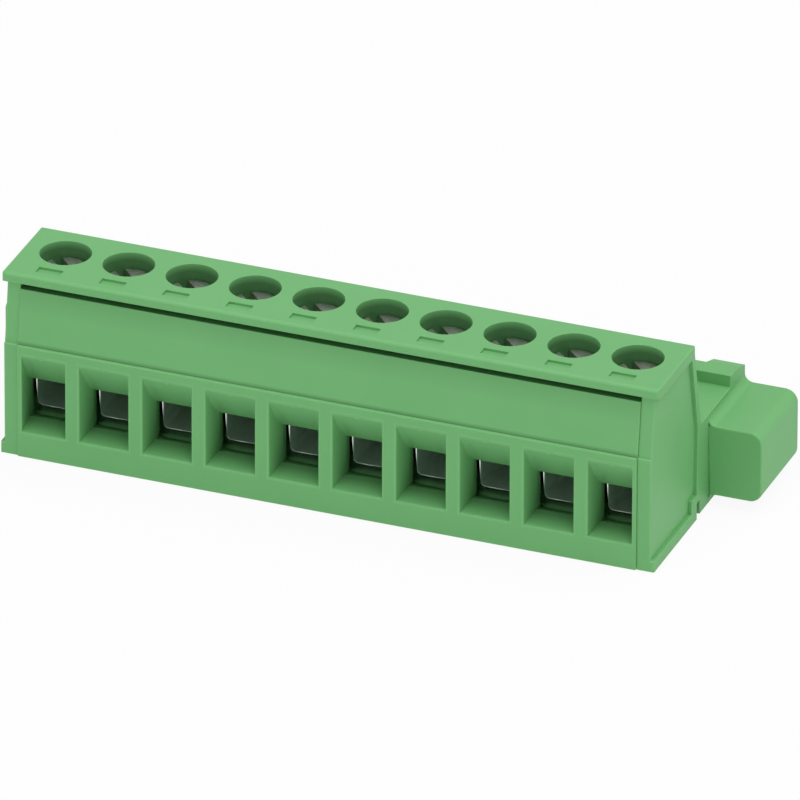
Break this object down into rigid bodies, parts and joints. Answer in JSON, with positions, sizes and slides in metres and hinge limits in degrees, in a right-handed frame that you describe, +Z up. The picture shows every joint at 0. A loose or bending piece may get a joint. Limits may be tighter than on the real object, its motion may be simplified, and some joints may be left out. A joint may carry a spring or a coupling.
{
  "type": "pluggable terminal block",
  "caption": "Long pluggable screw terminal block: wire funnels along the front, clamp screws on top, a shrouded pin side behind and a threaded flange at each end.",
  "frame": {"origin": "middle of the overall length and depth, on the surface the block stands on", "axes": "+X along the row of positions, +Y from the wire funnels to the pin side, +Z up towards the screw heads"},
  "size_m": [0.0608, 0.0194, 0.015],
  "materials": {
    "housing": "moulded green polyamide, fine satin surface",
    "cover": "moulded green polyamide, fine satin surface",
    "screw": "turned steel, pale zinc plate",
    "cage": "pressed steel, pale zinc plate",
    "contact": "stamped copper alloy, matt tin plate",
    "insert": "turned brass"
  },
  "bodies": {
    "housing": {"housing_body": "housing", "front_cover": "cover", "contact_1": "contact", "contact_2": "contact", "contact_3": "contact", "contact_4": "contact", "contact_5": "contact", "contact_6": "contact", "contact_7": "contact", "contact_8": "contact", "contact_9": "contact", "contact_10": "contact", "flange_insert_left": "insert", "flange_insert_right": "insert"},
    "screw_1": {"clamp_screw_1": "screw"},
    "cage_1": {"clamp_cage_1": "cage"},
    "screw_2": {"clamp_screw_2": "screw"},
    "cage_2": {"clamp_cage_2": "cage"},
    "screw_3": {"clamp_screw_3": "screw"},
    "cage_3": {"clamp_cage_3": "cage"},
    "screw_4": {"clamp_screw_4": "screw"},
    "cage_4": {"clamp_cage_4": "cage"},
    "screw_5": {"clamp_screw_5": "screw"},
    "cage_5": {"clamp_cage_5": "cage"},
    "screw_6": {"clamp_screw_6": "screw"},
    "cage_6": {"clamp_cage_6": "cage"},
    "screw_7": {"clamp_screw_7": "screw"},
    "cage_7": {"clamp_cage_7": "cage"},
    "screw_8": {"clamp_screw_8": "screw"},
    "cage_8": {"clamp_cage_8": "cage"},
    "screw_9": {"clamp_screw_9": "screw"},
    "cage_9": {"clamp_cage_9": "cage"},
    "screw_10": {"clamp_screw_10": "screw"},
    "cage_10": {"clamp_cage_10": "cage"}
  },
  "joints": [
    {"name": "screw_1_turn", "type": "hinge", "parent": "housing", "child": "screw_1", "pos_m": [-0.02286, -0.00445, 0.0117], "axis": [0, 0, -1], "range_deg": [0, 1585]},
    {"name": "cage_1_lift", "type": "slide", "parent": "housing", "child": "cage_1", "axis": [0, 0, 1], "range_m": [0, 0.0022]},
    {"name": "screw_2_turn", "type": "hinge", "parent": "housing", "child": "screw_2", "pos_m": [-0.01778, -0.00445, 0.0117], "axis": [0, 0, -1], "range_deg": [0, 1585]},
    {"name": "cage_2_lift", "type": "slide", "parent": "housing", "child": "cage_2", "axis": [0, 0, 1], "range_m": [0, 0.0022]},
    {"name": "screw_3_turn", "type": "hinge", "parent": "housing", "child": "screw_3", "pos_m": [-0.0127, -0.00445, 0.0117], "axis": [0, 0, -1], "range_deg": [0, 1585]},
    {"name": "cage_3_lift", "type": "slide", "parent": "housing", "child": "cage_3", "axis": [0, 0, 1], "range_m": [0, 0.0022]},
    {"name": "screw_4_turn", "type": "hinge", "parent": "housing", "child": "screw_4", "pos_m": [-0.00762, -0.00445, 0.0117], "axis": [0, 0, -1], "range_deg": [0, 1585]},
    {"name": "cage_4_lift", "type": "slide", "parent": "housing", "child": "cage_4", "axis": [0, 0, 1], "range_m": [0, 0.0022]},
    {"name": "screw_5_turn", "type": "hinge", "parent": "housing", "child": "screw_5", "pos_m": [-0.00254, -0.00445, 0.0117], "axis": [0, 0, -1], "range_deg": [0, 1585]},
    {"name": "cage_5_lift", "type": "slide", "parent": "housing", "child": "cage_5", "axis": [0, 0, 1], "range_m": [0, 0.0022]},
    {"name": "screw_6_turn", "type": "hinge", "parent": "housing", "child": "screw_6", "pos_m": [0.00254, -0.00445, 0.0117], "axis": [0, 0, -1], "range_deg": [0, 1585]},
    {"name": "cage_6_lift", "type": "slide", "parent": "housing", "child": "cage_6", "axis": [0, 0, 1], "range_m": [0, 0.0022]},
    {"name": "screw_7_turn", "type": "hinge", "parent": "housing", "child": "screw_7", "pos_m": [0.00762, -0.00445, 0.0117], "axis": [0, 0, -1], "range_deg": [0, 1585]},
    {"name": "cage_7_lift", "type": "slide", "parent": "housing", "child": "cage_7", "axis": [0, 0, 1], "range_m": [0, 0.0022]},
    {"name": "screw_8_turn", "type": "hinge", "parent": "housing", "child": "screw_8", "pos_m": [0.0127, -0.00445, 0.0117], "axis": [0, 0, -1], "range_deg": [0, 1585]},
    {"name": "cage_8_lift", "type": "slide", "parent": "housing", "child": "cage_8", "axis": [0, 0, 1], "range_m": [0, 0.0022]},
    {"name": "screw_9_turn", "type": "hinge", "parent": "housing", "child": "screw_9", "pos_m": [0.01778, -0.00445, 0.0117], "axis": [0, 0, -1], "range_deg": [0, 1585]},
    {"name": "cage_9_lift", "type": "slide", "parent": "housing", "child": "cage_9", "axis": [0, 0, 1], "range_m": [0, 0.0022]},
    {"name": "screw_10_turn", "type": "hinge", "parent": "housing", "child": "screw_10", "pos_m": [0.02286, -0.00445, 0.0117], "axis": [0, 0, -1], "range_deg": [0, 1585]},
    {"name": "cage_10_lift", "type": "slide", "parent": "housing", "child": "cage_10", "axis": [0, 0, 1], "range_m": [0, 0.0022]}
  ],
  "couplings": [
    {"joint": "screw_1_turn", "follows": "cage_1_lift", "rad_per_m": 12566},
    {"joint": "screw_2_turn", "follows": "cage_2_lift", "rad_per_m": 12566},
    {"joint": "screw_3_turn", "follows": "cage_3_lift", "rad_per_m": 12566},
    {"joint": "screw_4_turn", "follows": "cage_4_lift", "rad_per_m": 12566},
    {"joint": "screw_5_turn", "follows": "cage_5_lift", "rad_per_m": 12566},
    {"joint": "screw_6_turn", "follows": "cage_6_lift", "rad_per_m": 12566},
    {"joint": "screw_7_turn", "follows": "cage_7_lift", "rad_per_m": 12566},
    {"joint": "screw_8_turn", "follows": "cage_8_lift", "rad_per_m": 12566},
    {"joint": "screw_9_turn", "follows": "cage_9_lift", "rad_per_m": 12566},
    {"joint": "screw_10_turn", "follows": "cage_10_lift", "rad_per_m": 12566}
  ]
}
